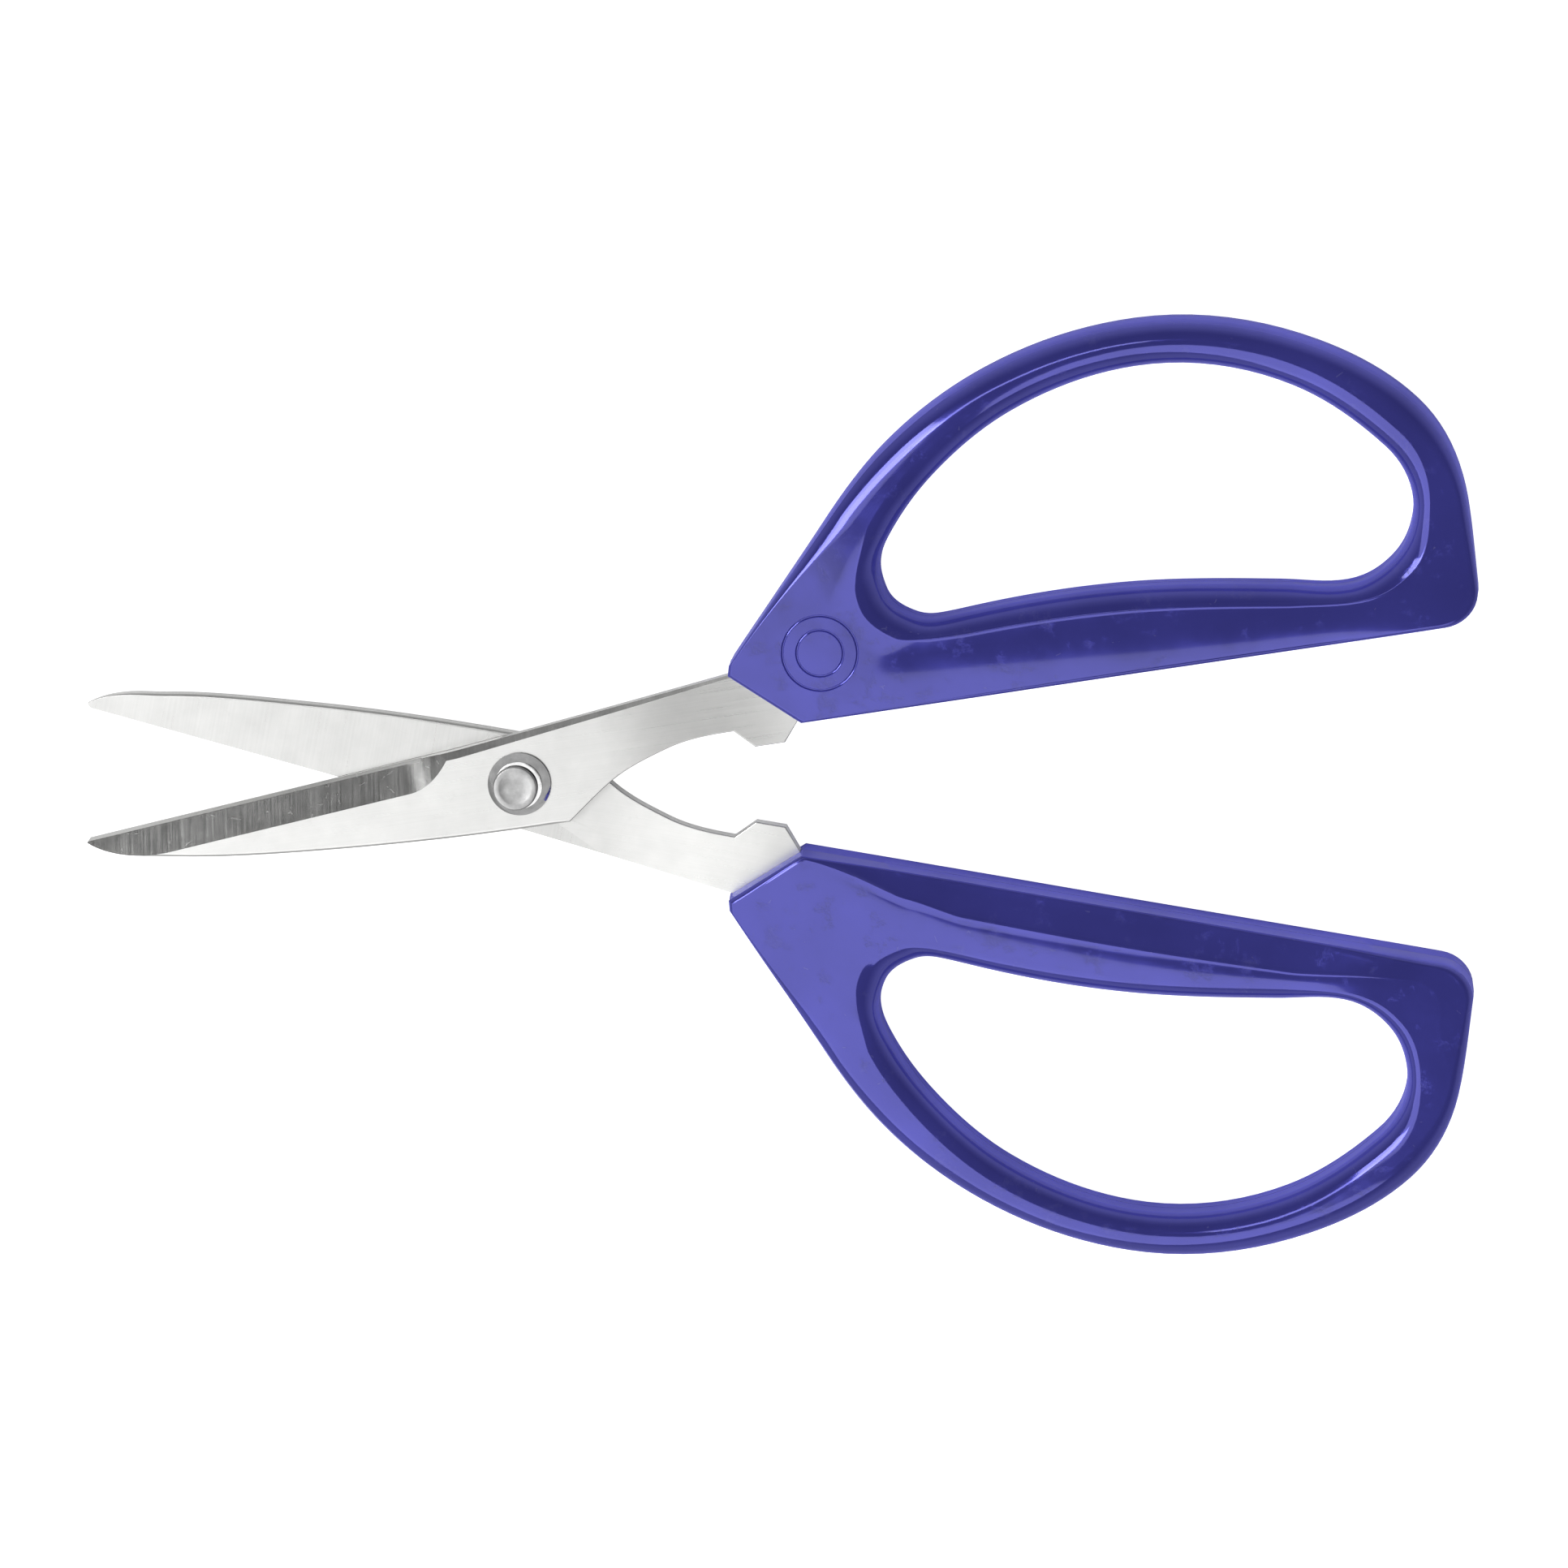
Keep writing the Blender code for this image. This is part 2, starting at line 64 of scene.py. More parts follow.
# --- Blades: blade, shank, closing stop and tang in one ----------------------------------------
# Each is blanked from 2 mm stainless sheet, joggled behind the rivet, ground with a broad bevel
# on its outer face and flat on its inner one, then honed along the edge and brushed lengthwise.
BLADE_LENGTH = 49.7 * MM
PLATE = 2.0 * MM
BLADE_GAP = 0.2 * MM
PLATE_LOW = BLADE_GAP / 2
PLATE_TOP = PLATE_LOW + PLATE
EDGE_AT_PIVOT = 5.3 * MM
SPINE_AT_PIVOT = 5.4 * MM
TIP_RISE = 0.45 * MM
TIP_X = -BLADE_LENGTH + 0.4 * MM
TIP_SET = {"front": 0.3 * MM, "rear": -0.45 * MM}
BEND_START = 10.0 * MM
BEND_END = 31.0 * MM
JOGGLE = 0.6 * MM
SHANK_TOP = 8.6 * MM
SHANK_LOW = 2.25 * MM
STOP_START = 26.8 * MM
STOP_END = 30.2 * MM
STOP_GAP = 0.15 * MM
TANG_END = 62.0 * MM
TANG_LOW = 4.6 * MM
TANG_HIGH = 9.4 * MM
TANG_MID = (TANG_LOW + TANG_HIGH) / 2
TANG_HOLES = (41.0 * MM, 54.0 * MM)
TANG_HOLE_R = 1.6 * MM
RIVET_HOLE_R = 2.1 * MM
GRIND_WIDTH = 3.5 * MM
GRIND_EDGE_LEFT = 0.75 * MM
GRIND_END = -12.8 * MM
GRIND_WHEEL_R = 14.0 * MM
WHEEL_TURN = math.radians(60)
WHEEL_STEPS = 40
MERGE = 1e-7
HONE_WIDTH = 0.3 * MM
HONE_EDGE_LEFT = 0.45 * MM
CHAMFER_WIDTH = 0.85 * MM
CHAMFER_DEPTH = 0.5 * MM
CHAMFER_AT_HANDLE = 0.3 * MM
CHAMFER_START = -7 * MM
CHAMFER_RUN = 32 * MM
CHAMFER_END = 26 * MM
CHAMFER_LOWEST = 0.4 * MM
EYE_END = 6 * MM
UPPER_SIDE = 4 * MM
TIP_FADE = 8 * MM
HEEL_FADE = 2 * MM
SPINE_ROUND = 0.42 * MM
STAMPED_ROUND = 0.14 * MM
ROUND_STEPS = 4
INNER_GRIND_END = 4.0 * MM
HONE_START = GRIND_END + 4 * MM
BLADE_SHARP_ANGLE = 8
STEEL_BLUE = 0.985
SCRATCH_ROUGHNESS = 0.12
LINE_ROUGHNESS = 0.03


def stretch(a, leave, b, arrive, steps):
    """Points from a up to b, on a Bezier that leaves and arrives at these headings."""
    chord = math.dist(a, b)
    straight = math.atan2(b[1] - a[1], b[0] - a[0])
    leave = straight if leave is None else math.radians(leave)
    arrive = straight if arrive is None else math.radians(arrive)
    turn = math.remainder(arrive - leave, math.tau)
    reach = chord / 3
    if abs(turn) > 1e-3:
        reach = chord * 2 / 3 * math.tan(turn / 4) / math.sin(turn / 2)
    c = (a[0] + reach * math.cos(leave), a[1] + reach * math.sin(leave))
    d = (b[0] - reach * math.cos(arrive), b[1] - reach * math.sin(arrive))
    found = []
    for k in range(steps):
        t = k / steps
        weights = ((1 - t) ** 3, 3 * t * (1 - t) ** 2, 3 * t * t * (1 - t), t**3)
        found.append(tuple(sum(w * p[i] for w, p in zip(weights, (a, c, d, b))) for i in (0, 1)))
    return found


def outline(nodes, steps=16):
    """A closed outline from nodes of (x, y, heading on arrival, heading on leaving)."""
    points = []
    for a, b in zip(nodes, nodes[1:] + nodes[:1]):
        straight = a[3] is None and b[2] is None
        points += stretch(a[:2], a[3], b[:2], b[2], 1 if straight else steps)
    return points


def moved_out(points, distances):
    """An anticlockwise outline with each point moved outwards along its mitre."""
    found = []
    around = zip(points[-1:] + points[:-1], points, points[1:] + points[:1], distances)
    for before, at, after, by in around:
        first = Vector(at) - Vector(before)
        second = Vector(after) - Vector(at)
        side = Vector((first.y, -first.x)).normalized()
        other = Vector((second.y, -second.x)).normalized()
        found.append(tuple(Vector(at) + (side + other) / (1 + side.dot(other)) * by))
    return found


def circle(x, y, radius, steps=96):
    turns = [math.tau * k / steps for k in range(steps)]
    return [(x + radius * math.cos(t), y + radius * math.sin(t)) for t in turns]


def edge_slope(tip_set):
    return math.atan2(EDGE_AT_PIVOT - TIP_RISE - tip_set, -TIP_X)


def edge_y(x, tip_set):
    return EDGE_AT_PIVOT + x * math.tan(edge_slope(tip_set))


def tang_nodes():
    """From the shank's lower side round the stop and the tang to its upper side."""
    return [
        (STOP_START - 2.1 * MM, SHANK_LOW, 0, None),
        (STOP_START, STOP_GAP, None, None),
        (STOP_END, STOP_GAP, None, None),
        (STOP_END + 3.6 * MM, TANG_LOW, None, None),
        (TANG_END - 2 * MM, TANG_LOW, None, 0),
        (TANG_END, TANG_MID, 90, 90),
        (TANG_END - 2 * MM, TANG_HIGH, 180, None),
        (STOP_END + 6 * MM, TANG_HIGH, None, None),
        (25.0 * MM, SHANK_TOP, None, None),
    ]


def blade_nodes(tip_set):
    """The whole plate, anticlockwise from the tip along the back of the blade."""
    return [
        (-BLADE_LENGTH, tip_set, None, -38),
        (-0.82 * BLADE_LENGTH, -0.5 * SPINE_AT_PIVOT + 0.82 * tip_set, -10, -10),
        (-0.5 * BLADE_LENGTH, -0.81 * SPINE_AT_PIVOT + 0.5 * tip_set, -4, -4),
        (4.9 * MM, -0.95 * SPINE_AT_PIVOT, 1, 37),
        (10.1 * MM, -1.35 * MM, 33, 33),
        (17.0 * MM, 1.45 * MM, 17, 17),
        *tang_nodes(),
        (-6.5 * MM, edge_y(-6.5 * MM, tip_set), None, None),
        (TIP_X, TIP_RISE + tip_set, None, None),
    ]


def stamped_rounding(x, y):
    """How far an edge is rounded over: broad along the blade's back, slight along the shank."""
    if y < 0 and x < EYE_END:
        near_tip = min(1, max(0, (x + BLADE_LENGTH) / TIP_FADE))
        near_heel = min(1, max(0, (EYE_END - x) / HEEL_FADE))
        return max(STAMPED_ROUND, SPINE_ROUND * near_heel) * near_tip
    return STAMPED_ROUND if y < UPPER_SIDE and x > EYE_END else 0.0


def filed_chamfer(x, y):
    """Width and depth of the chamfer filed along the upper side, none at the tip."""
    on_lower_side = x > EYE_END and y < UPPER_SIDE
    if y < CHAMFER_LOWEST or x > CHAMFER_END or on_lower_side:
        return 0.0, 0.0
    if x < CHAMFER_START:
        share = max(0, (x - TIP_X) / (CHAMFER_START - TIP_X))
        return CHAMFER_WIDTH * share, CHAMFER_DEPTH * share
    share = (x - CHAMFER_START) / CHAMFER_RUN
    width = CHAMFER_WIDTH + (CHAMFER_AT_HANDLE - CHAMFER_WIDTH) * share
    return width, min(CHAMFER_DEPTH, width)


def solid_from_rings(name, rings, holes):
    """A plate from outline rings stacked upwards, with round holes through its two flat faces."""
    shape = bmesh.new()
    levels = [[shape.verts.new(point) for point in ring] for ring in rings]
    for low, high in zip(levels, levels[1:]):
        for k in range(len(low)):
            n = (k + 1) % len(low)
            shape.faces.new((low[k], low[n], high[n], high[k]))
    ends = [[levels[0]], [levels[-1]]]
    for hole in holes:
        pair = []
        for ring in (rings[0], rings[-1]):
            pair.append([shape.verts.new((x, y, ring[0][2])) for x, y in hole])
        for k in range(len(hole)):
            n = (k + 1) % len(hole)
            shape.faces.new((pair[0][n], pair[0][k], pair[1][k], pair[1][n]))
        ends[0].append(pair[0])
        ends[1].append(pair[1])
    for loops in ends:
        rim = []
        for loop in loops:
            for a, b in zip(loop, loop[1:] + loop[:1]):
                rim.append(shape.edges.get((a, b)))
        bmesh.ops.triangle_fill(shape, edges=rim, use_beauty=True, use_dissolve=False)
    bmesh.ops.remove_doubles(shape, verts=shape.verts, dist=MERGE)
    bmesh.ops.recalc_face_normals(shape, faces=shape.faces)
    mesh = bpy.data.meshes.new(name)
    shape.to_mesh(mesh)
    shape.free()
    return mesh


def stamped_plate(tip_set):
    """The blank at its own level, its edges rounded over and the shank's upper side filed."""
    points = outline(blade_nodes(tip_set))
    roundings = [stamped_rounding(x, y) for x, y in points]
    chamfers = [filed_chamfer(x, y) for x, y in points]
    below = []
    above = []
    for k in range(ROUND_STEPS + 1):
        t = math.pi / 2 * k / ROUND_STEPS
        inward = [r * (1 - math.cos(t)) for r in roundings]
        depth = [r * (1 - math.sin(t)) for r in roundings]
        plan = moved_out(points, [-by for by in inward])
        below.append([(x, y, PLATE_LOW + d) for (x, y), d in zip(plan, depth)])
        inward = [by + wide * k / ROUND_STEPS for by, (wide, _) in zip(inward, chamfers)]
        depth = [d + deep * (1 - k / ROUND_STEPS) for d, (_, deep) in zip(depth, chamfers)]
        plan = moved_out(points, [-by for by in inward])
        above.append([(x, y, PLATE_TOP - d) for (x, y), d in zip(plan, depth)])
    holes = [circle(0, 0, RIVET_HOLE_R)]
    holes += [circle(x, TANG_MID, TANG_HOLE_R, 48) for x in TANG_HOLES]
    return solid_from_rings("plate", below[::-1] + above, holes)


def joggle_drop(x):
    t = min(1, max(0, (x - BEND_START) / (BEND_END - BEND_START)))
    return JOGGLE * t * t * (3 - 2 * t)


def bend_plate(mesh, bends=24):
    """Bends the shank down towards the handle's middle plane in an S, cut finely along it."""
    shape = bmesh.new()
    shape.from_mesh(mesh)
    for k in range(bends + 1):
        x = BEND_START + (BEND_END - BEND_START) * k / bends
        everything = shape.verts[:] + shape.edges[:] + shape.faces[:]
        bmesh.ops.bisect_plane(shape, geom=everything, plane_co=(x, 0, 0), plane_no=(1, 0, 0))
    bmesh.ops.triangulate(shape, faces=shape.faces)
    for vert in shape.verts:
        vert.co.z -= joggle_drop(vert.co.x)
    shape.to_mesh(mesh)
    shape.free()


def new_object(name, mesh):
    obj = bpy.data.objects.new(name, mesh)
    bpy.context.scene.collection.objects.link(obj)
    return obj


def prism(name, side, thickness):
    """A straight-sided cutter from its side view."""
    rings = [[(x, y, z) for x, y in side] for z in (-thickness / 2, thickness / 2)]
    return new_object(name, solid_from_rings(name, rings, []))


def bevel_cutter(name, side, tip_set, width, outer, inner):
    """Cuts a bevel along the edge that falls to height outer from height inner, this far in."""
    slope = edge_slope(tip_set)
    along = Vector((math.cos(slope), math.sin(slope), 0))
    outward = Vector((-math.sin(slope), math.cos(slope), 0))
    fall = math.atan2(inner - outer, width)
    normal = outward * math.sin(fall) + Vector((0, 0, math.cos(fall)))
    place = Matrix((along, normal, along.cross(normal))).transposed().to_4x4()
    place.translation = Vector((0, EDGE_AT_PIVOT, PLATE_LOW + inner)) - outward * width
    cutter = prism(name, side, 30 * MM)
    cutter.matrix_world = place
    return cutter


def grinding_cutters(tip_set):
    """The wheel that leaves the broad bevel and the hone that finishes its edge."""
    start = -BLADE_LENGTH * 1.2
    wheel = []
    for k in range(WHEEL_STEPS + 1):
        turn = WHEEL_TURN * k / WHEEL_STEPS
        along = GRIND_END + GRIND_WHEEL_R * math.sin(turn)
        wheel.append((along, GRIND_WHEEL_R * (1 - math.cos(turn))))
    broad = [(start, 0), *wheel, (start, wheel[-1][1])]
    run_out = GRIND_END + 2 * MM
    fine = [(start, 0), (run_out, 0), (run_out + 3 * MM, 3 * MM), (start, 3 * MM)]
    honed_from = GRIND_EDGE_LEFT + HONE_WIDTH * (PLATE - GRIND_EDGE_LEFT) / GRIND_WIDTH
    return [
        bevel_cutter("grind", broad, tip_set, GRIND_WIDTH, GRIND_EDGE_LEFT, PLATE),
        bevel_cutter("hone", fine, tip_set, HONE_WIDTH, HONE_EDGE_LEFT, honed_from),
    ]


def cut_and_keep(obj, cutters):
    """Cuts the object's mesh for good and clears the cutters away."""
    for cutter in cutters:
        change = obj.modifiers.new(cutter.name, "BOOLEAN")
        change.solver = "EXACT"
        change.object = cutter
    bpy.context.view_layer.update()
    graph = bpy.context.evaluated_depsgraph_get()
    mesh = bpy.data.meshes.new_from_object(obj.evaluated_get(graph))
    obj.modifiers.clear()
    obj.data = mesh
    for cutter in cutters:
        bpy.data.objects.remove(cutter)


def finish_mesh(mesh, place, sharp_angle):
    """Shades the mesh and lays it in place, keeping where each point lies on its own piece."""
    mesh.shade_smooth()
    mesh.set_sharp_from_angle(angle=math.radians(sharp_angle))
    own = mesh.attributes.new("own_place", "FLOAT_VECTOR", "POINT")
    own.data.foreach_set("vector", [c for vert in mesh.vertices for c in vert.co])
    mesh.transform(place)


def add_node(tree, kind, inputs=None, **settings):
    """A node with its settings and inputs; an input is a value, or another node's output."""
    node = tree.nodes.new(kind)
    for name, value in settings.items():
        setattr(node, name, value)
    for name, value in (inputs or {}).items():
        if isinstance(value, bpy.types.NodeSocket):
            tree.links.new(value, node.inputs[name])
        else:
            node.inputs[name].default_value = value
    return node


def own_place(tree):
    """Where a point lies on its own piece, in metres, whichever way the piece is laid."""
    return add_node(tree, "ShaderNodeAttribute", attribute_name="own_place").outputs["Vector"]


def new_group(name, numbers, outputs):
    """A shader node group with number inputs, and the tree to fill in."""
    tree = bpy.data.node_groups.new(name, "ShaderNodeTree")
    for socket, value in numbers.items():
        made = tree.interface.new_socket(socket, in_out="INPUT", socket_type="NodeSocketFloat")
        made.default_value = value
    for socket in outputs:
        tree.interface.new_socket(socket, in_out="OUTPUT", socket_type="NodeSocketFloat")
    return tree, tree.nodes.new("NodeGroupInput").outputs, tree.nodes.new("NodeGroupOutput").inputs


def make_line_group():
    """Fine parallel lines that a belt, wheel or brush leaves, turned by an angle about Z."""
    tree, given, out = new_group(
        "Ground lines", {"Turn": 0.0, "Across": 9000.0, "Along": 90.0}, ["Lines", "Patches"]
    )
    place = own_place(tree)
    turned = add_node(
        tree,
        "ShaderNodeVectorRotate",
        {"Vector": place, "Angle": given["Turn"]},
        rotation_type="Z_AXIS",
    )
    scale = add_node(
        tree, "ShaderNodeCombineXYZ", {"X": given["Along"], "Y": given["Across"], "Z": given["Along"]}
    )
    stretched = add_node(
        tree,
        "ShaderNodeVectorMath",
        {0: turned.outputs[0], 1: scale.outputs[0]},
        operation="MULTIPLY",
    )
    lines = add_node(
        tree,
        "ShaderNodeTexNoise",
        {"Vector": stretched.outputs[0], "Scale": 1.0, "Detail": 2.0, "Roughness": 0.5},
    )
    patches = add_node(
        tree, "ShaderNodeTexNoise", {"Vector": place, "Scale": 260.0, "Detail": 4.0, "Roughness": 0.6}
    )
    tree.links.new(lines.outputs["Fac"], out["Lines"])
    tree.links.new(patches.outputs["Fac"], out["Patches"])
    return tree


def make_scratch_group():
    """Sparse short hairline scratches: thin cell borders kept only in a few patches."""
    tree, given, out = new_group(
        "Hairline scratches", {"Cells": 420.0, "Thin": 0.012, "Kept": 0.62}, ["Scratches"]
    )
    place = own_place(tree)
    wander = add_node(
        tree, "ShaderNodeTexNoise", {"Vector": place, "Scale": 150.0, "Detail": 2.0, "Roughness": 0.5}
    )
    bent = add_node(
        tree,
        "ShaderNodeVectorMath",
        {0: wander.outputs["Color"], 1: (0.004, 0.004, 0.004), 2: place},
        operation="MULTIPLY_ADD",
    )
    cells = add_node(
        tree,
        "ShaderNodeTexVoronoi",
        {"Vector": bent.outputs[0], "Scale": given["Cells"]},
        feature="DISTANCE_TO_EDGE",
    )
    thin = add_node(
        tree, "ShaderNodeMath", {0: cells.outputs["Distance"], 1: given["Thin"]}, operation="LESS_THAN"
    )
    where = add_node(
        tree, "ShaderNodeTexNoise", {"Vector": place, "Scale": 700.0, "Detail": 2.0, "Roughness": 0.5}
    )
    kept = add_node(
        tree, "ShaderNodeMath", {0: where.outputs["Fac"], 1: given["Kept"]}, operation="GREATER_THAN"
    )
    both = add_node(
        tree, "ShaderNodeMath", {0: thin.outputs[0], 1: kept.outputs[0]}, operation="MULTIPLY"
    )
    tree.links.new(both.outputs[0], out["Scratches"])
    return tree


line_group = make_line_group()
scratch_group = make_scratch_group()


def mapped(tree, value, low, high, start=0.3, end=0.7):
    """A value spread over a range."""
    made = add_node(
        tree,
        "ShaderNodeMapRange",
        {"Value": value, "From Min": start, "From Max": end, "To Min": low, "To Max": high},
    )
    return made.outputs["Result"]


def steel(name, turn, grey, roughness, line_depth, across, along, contrast=0.012, patchiness=0.02):
    """Stainless steel finished in one direction, a little uneven and lightly scratched."""
    material = bpy.data.materials.new(name)
    material.use_nodes = True
    tree = material.node_tree
    shader = tree.nodes["Principled BSDF"]
    lines = add_node(tree, "ShaderNodeGroup", node_tree=line_group)
    lines.inputs["Turn"].default_value = turn
    lines.inputs["Across"].default_value = across
    lines.inputs["Along"].default_value = along
    marks = add_node(tree, "ShaderNodeGroup", node_tree=scratch_group)
    tone = add_node(
        tree,
        "ShaderNodeMath",
        {
            0: mapped(tree, lines.outputs["Lines"], grey - contrast, grey + contrast),
            1: mapped(tree, lines.outputs["Patches"], -patchiness, patchiness),
        },
        operation="ADD",
    )
    blue = mapped(tree, tone.outputs[0], 0, STEEL_BLUE, 0, 1)
    colour = add_node(
        tree,
        "ShaderNodeCombineColor",
        {"Red": tone.outputs[0], "Green": tone.outputs[0], "Blue": blue},
    )
    tree.links.new(colour.outputs[0], shader.inputs["Base Color"])
    rough = add_node(
        tree,
        "ShaderNodeMath",
        {
            0: mapped(
                tree, lines.outputs["Lines"], roughness - LINE_ROUGHNESS, roughness + LINE_ROUGHNESS
            ),
            1: mapped(tree, marks.outputs["Scratches"], 0.0, SCRATCH_ROUGHNESS, 0.0, 1.0),
        },
        operation="ADD",
    )
    tree.links.new(rough.outputs[0], shader.inputs["Roughness"])
    height = add_node(
        tree,
        "ShaderNodeMath",
        {0: lines.outputs["Lines"], 1: marks.outputs["Scratches"]},
        operation="SUBTRACT",
    )
    bump = add_node(
        tree,
        "ShaderNodeBump",
        {"Height": height.outputs[0], "Distance": line_depth, "Strength": 1.0},
    )
    tree.links.new(bump.outputs[0], shader.inputs["Normal"])
    shader.inputs["Metallic"].default_value = 1.0
    return material


BRUSHED, BEVEL, INNER, HONED, STAMPED = range(5)
blade_finishes = [
    steel("Brushed steel", 0.0, 0.44, 0.3, 3e-7, 6000.0, 60.0),
    steel("Wheel-ground bevel", math.radians(96), 0.37, 0.22, 3e-7, 5000.0, 150.0, 0.02, 0.08),
    steel("Belt-ground inner face", math.radians(88), 0.4, 0.3, 4e-7, 3500.0, 80.0, 0.016),
    steel("Honed edge", math.radians(90), 0.65, 0.22, 3e-7, 5000.0, 90.0),
    steel("Stamped edge", math.radians(90), 0.75, 0.34, 1.2e-6, 4000.0, 300.0, 0.04),
]


def finish_of(face):
    """Which of the blade's finishes a face has, from where it is and which way it looks."""
    x, y, z = face.center
    tilt = abs(face.normal.z)
    if tilt < 0.5:
        return STAMPED
    along_edge = face.normal.y > 0.05 and face.normal.z > 0
    if along_edge and x < HONE_START and tilt < 0.75:
        return HONED
    if along_edge and tilt < 0.995:
        return BEVEL
    if face.normal.z < -0.99 and x < INNER_GRIND_END:
        return INNER
    return BRUSHED


for side, place in arm_places.items():
    blade = new_object(f"{side}_blade_ground", stamped_plate(TIP_SET[side]))
    bend_plate(blade.data)
    cut_and_keep(blade, grinding_cutters(TIP_SET[side]))
    for finish in blade_finishes:
        blade.data.materials.append(finish)
    for face in blade.data.polygons:
        face.material_index = finish_of(face)
    finish_mesh(blade.data, place, BLADE_SHARP_ANGLE)
    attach(blade, f"{side}_arm")
    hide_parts(f"{side}_blade")

# --- Handles: one nylon moulding round each tang ------------------------------------------------
# A flat neck, a straight leg and a round bow.  The front face has a crisp crease round the finger
# hole; the back has a long ridge down the leg.  A parting line runs round the walls at mid height.
HANDLE_THICKNESS = 8.4 * MM
HALF_HANDLE = HANDLE_THICKNESS / 2
DRAFT = math.tan(math.radians(2.5))
PARTING_GROOVE = 0.05 * MM
GROOVE_HALF_WIDTH = 1.6 * PARTING_GROOVE
BEAD_REACH = 0.4 * MM
RIDGE_RISE = 0.06
TANG_FIT = 0.05 * MM
RING_CENTRE = (35.9 * MM, 10.0 * MM)
RING_RADII = (4.2 * MM, 2.6 * MM)
RING_GROOVE = 0.16 * MM
RING_STEPS = 12
MOULD_SHARP_ANGLE = 28
AXIS_MERGE = 1e-6
HANDLE_BLUE = (0.045, 0.045, 0.27)
# Wall colour: a painted reflection of the white table, lighter and bluer than the moulding's own blue.
WALL_TABLE_REFLECTION_BLUE = (0.16, 0.16, 0.7)
WORN_BLUE = (0.2, 0.2, 0.42)
GLINT_BLUE = (0.2, 0.2, 0.8)
NYLON_GLINT = 0.43
CLOUD_SCALE = 90.0
WAVE_SCALE = 170.0
GRAIN_SCALE = 330.0
WAVE_DEPTH = 0.04 * MM
WEAR_DEPTH = 0.01 * MM
FILLET_STEPS = 10
BEAD_STEPS = 8
FLAT_STEPS = 5
SLOPE_STEPS = 4
EDGE_STEPS = 12

# A face is: the fillet at the hole (width, depth, angle of the crease), the crown of the flat,
# the slope outside it (width, drop), the rounding outside (width, depth) and the crease's bead,
# in millimetres and degrees.
NECK = (3.0, 2.6, 14, 0.0, 0.7, 0.0, 0.6, 0.7, 0.03)
NECK_BACK = (2.9, 2.4, 6, 0.03, 0.9, 0.0, 0.8, 0.9, 0.0)
LEG = (2.3, 2.6, 17, 0.12, 0.5, 0.0, 0.4, 0.5, 0.05)
LEG_BACK = (2.0, 2.4, 4, 0.04, 4.1, 0.85, 0.35, 0.4, 0.0)
HEEL = (2.5, 2.6, 12, 0.04, 0.8, 0.02, 0.7, 0.8, 0.03)
HEEL_BACK = (1.6, 2.2, 4, 0.0, 3.9, 0.02, 1.0, 1.2, 0.0)
RISE = (1.9, 2.5, 8, 0.0, 1.3, 0.0, 1.2, 1.6, 0.0)
RISE_BACK = (1.5, 2.2, 4, 0.0, 1.5, 0.0, 1.4, 1.6, 0.0)
BOW = (2.6, 2.3, 0, 0.0, 2.7, 0.0, 2.6, 2.3, 0.0)
BOW_LOW = (2.6, 1.9, 0, 0.0, 3.3, 0.0, 3.2, 1.8, 0.0)
SHOULDER = (2.8, 2.4, 3, 0.0, 3.2, 0.0, 3.1, 1.4, 0.0)
# Ribs anticlockwise round the loop: the outer point with its headings, the point at the finger
# hole with its heading, the front face and the back face.  Millimetres and degrees.
RIBS = [
    ((25.2, 8.85, None, None), (44.0, 15.3, -77), NECK, NECK_BACK),
    ((32.5, 2.4, None, -0.2), (46.9, 12.2, -28), NECK, (2.6, 2.4, 4, 0.03, 0.6, 0.05, 0.4, 0.5, 0.0)),
    ((42.5, 2.4, 0, 0), (49.4, 11.65, 1), LEG, (2.0, 2.4, 4, 0.04, 3.5, 0.75, 0.35, 0.4, 0.0)),
    ((50.0, 2.4, 0, 0), (53.5, 11.9, 4.2), LEG, LEG_BACK),
    ((70.0, 2.45, 0, 0), (70.0, 12.05, -3.4), LEG, LEG_BACK),
    ((90.0, 2.45, 0, 0), (87.6, 9.8, -9.4), LEG, (2.0, 2.4, 4, 0.04, 3.9, 0.6, 0.4, 0.5, 0.0)),
    ((105.1, 2.45, 0.5, 0.5), (96.7, 8.85, 14), HEEL, HEEL_BACK),
    ((109.3, 6.3, 88, 88), (100.7, 11.0, 41), HEEL, HEEL_BACK),
    ((109.6, 16.1, 91, 91), (103.3, 15.4, 75), RISE, RISE_BACK),
    ((105.8, 27.7, 128, 128), (101.4, 23.4, 129), BOW, BOW),
    ((95.8, 35.85, 151, 151), (92.4, 31.6, 149), BOW, BOW),
    ((76.1, 41.3, 179, 179), (75.5, 36.35, 180), BOW, BOW),
    ((58.6, 38.35, 200, 200), (61.1, 33.5, 201.5), BOW, BOW),
    ((46.2, 31.6, 217, 217), (51.3, 27.7, 218.5), BOW_LOW, BOW_LOW),
    ((38.6, 24.4, 228, 228), (46.2, 22.6, 231), SHOULDER, SHOULDER),
    ((25.5, 10.0, 228, None), (43.85, 18.6, 255.5), NECK, NECK_BACK),
]
RIB_STEPS = 10


